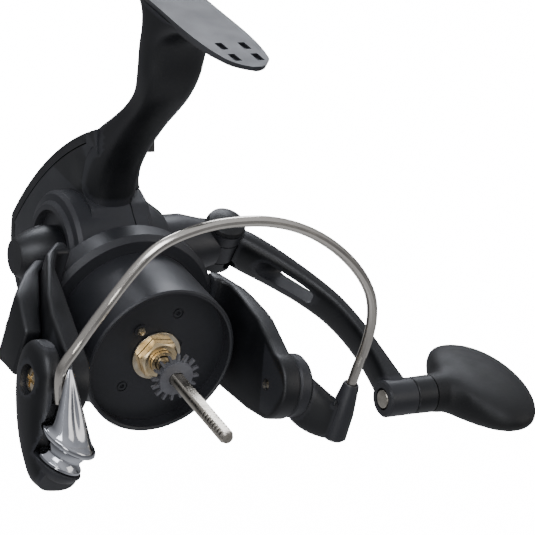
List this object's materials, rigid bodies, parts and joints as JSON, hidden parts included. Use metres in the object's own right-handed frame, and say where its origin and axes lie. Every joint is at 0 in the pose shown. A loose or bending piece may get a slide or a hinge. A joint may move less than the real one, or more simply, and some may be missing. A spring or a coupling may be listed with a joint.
{
  "type": "spinning reel",
  "caption": "Fixed-spool fishing reel shown without its spool: foot and stem, gear case, spinning rotor with two arms, bail wire with line roller, folding crank handle and knob.",
  "frame": {"origin": "middle of the foot's flat top face, which rests against the rod", "axes": "+Z out of the foot towards the rod; -Y forwards, out of the rotor and along the line; +X towards the handle's side"},
  "size_m": [0.1426, 0.1144, 0.1105],
  "materials": {
    "black_nylon": "fibre-filled nylon, fine moulded texture",
    "soft_touch": "soft-touch coating, matt",
    "chrome": "polished hard chrome",
    "steel": "drawn and turned stainless steel",
    "nickel": "bright nickel plate",
    "brass": "machined brass",
    "zinc_casting": "die-cast zinc, as cast",
    "grey_zinc": "grey coated zinc casting",
    "acetal": "moulded white acetal"
  },
  "bodies": {
    "case": {"body_housing": "black_nylon", "side_cover": "black_nylon", "side_cover_screw_1": "nickel", "side_cover_screw_2": "nickel", "side_cover_screw_3": "nickel", "rear_cover": "black_nylon", "left_crank_bearing": "steel", "right_crank_bearing": "steel", "pinion_bearing": "steel", "pinion_bush": "brass", "anti_reverse_clutch": "steel", "clutch_retainer": "black_nylon", "clutch_retainer_screw_1": "nickel", "clutch_retainer_screw_2": "nickel", "clutch_retainer_screw_3": "nickel", "slider_guide_rod": "steel"},
    "crank": {"drive_gear": "zinc_casting", "handle_shank": "black_nylon", "handle_cap": "black_nylon", "fold_pin": "black_nylon"},
    "handle": {"handle_arm": "black_nylon", "knob_axle": "steel"},
    "grip": {"knob": "soft_touch", "knob_collar": "black_nylon"},
    "rotor_group": {"rotor": "black_nylon", "retainer_screw": "nickel", "left_arm_cover": "black_nylon", "left_arm_cover_screw": "nickel", "right_arm_cover": "black_nylon", "right_arm_cover_screw": "nickel", "rotor_nut": "brass", "nut_washer": "nickel", "pinion_gear": "brass", "clutch_sleeve": "steel", "left_pivot_screw": "nickel", "right_pivot_screw": "nickel"},
    "bail": {"bail_arm": "black_nylon", "roller_bush": "brass", "roller_fairing": "chrome", "roller_screw": "nickel", "bail_wire": "steel", "bail_holder": "black_nylon", "wire_screw": "nickel"},
    "roller": {"line_roller": "chrome"},
    "oscillator": {"oscillation_gear": "acetal"},
    "spindle": {"main_shaft": "steel", "click_gear": "grey_zinc", "crosswind_slider": "zinc_casting", "slider_screw": "nickel"},
    "lever": {"anti_reverse_lever": "black_nylon"}
  },
  "joints": [
    {"name": "crank_turn", "type": "hinge", "parent": "case", "child": "crank", "pos_m": [0, 0.0249, -0.0759], "axis": [1, 0, 0], "continuous": true},
    {"name": "handle_fold", "type": "hinge", "parent": "crank", "child": "handle", "pos_m": [0.0342, 0.0249, -0.0759], "axis": [0, -0.342, 0.9397], "range_deg": [0, 90]},
    {"name": "knob_spin", "type": "hinge", "parent": "handle", "child": "grip", "pos_m": [0.07, -0.02885, -0.09546], "axis": [1, 0, 0], "continuous": true},
    {"name": "rotor_spin", "type": "hinge", "parent": "case", "child": "rotor_group", "pos_m": [0, -0.0151, -0.086], "axis": [0, 1, 0], "continuous": true},
    {"name": "bail_swing", "type": "hinge", "parent": "rotor_group", "child": "bail", "pos_m": [0, -0.0251, -0.086], "axis": [0.9903, 0, -0.1392], "range_deg": [0, 55]},
    {"name": "roller_spin", "type": "hinge", "parent": "bail", "child": "roller", "pos_m": [-0.03582, -0.0396, -0.09228], "axis": [0.3907, 0, 0.9205], "continuous": true},
    {"name": "oscillation_turn", "type": "hinge", "parent": "case", "child": "oscillator", "pos_m": [0, 0.03769, -0.086], "axis": [1, 0, 0], "continuous": true},
    {"name": "shaft_slide", "type": "slide", "parent": "case", "child": "spindle", "axis": [0, 1, 0], "range_m": [-0.0065, 0.0035]},
    {"name": "anti_reverse", "type": "hinge", "parent": "case", "child": "lever", "pos_m": [0, 0.0309, -0.1065], "axis": [0, 0, 1], "range_deg": [0, 30]}
  ],
  "couplings": [
    {"joint": "rotor_spin", "follows": "crank_turn", "ratio": 5},
    {"joint": "oscillation_turn", "follows": "crank_turn", "ratio": -0.5}
  ]
}
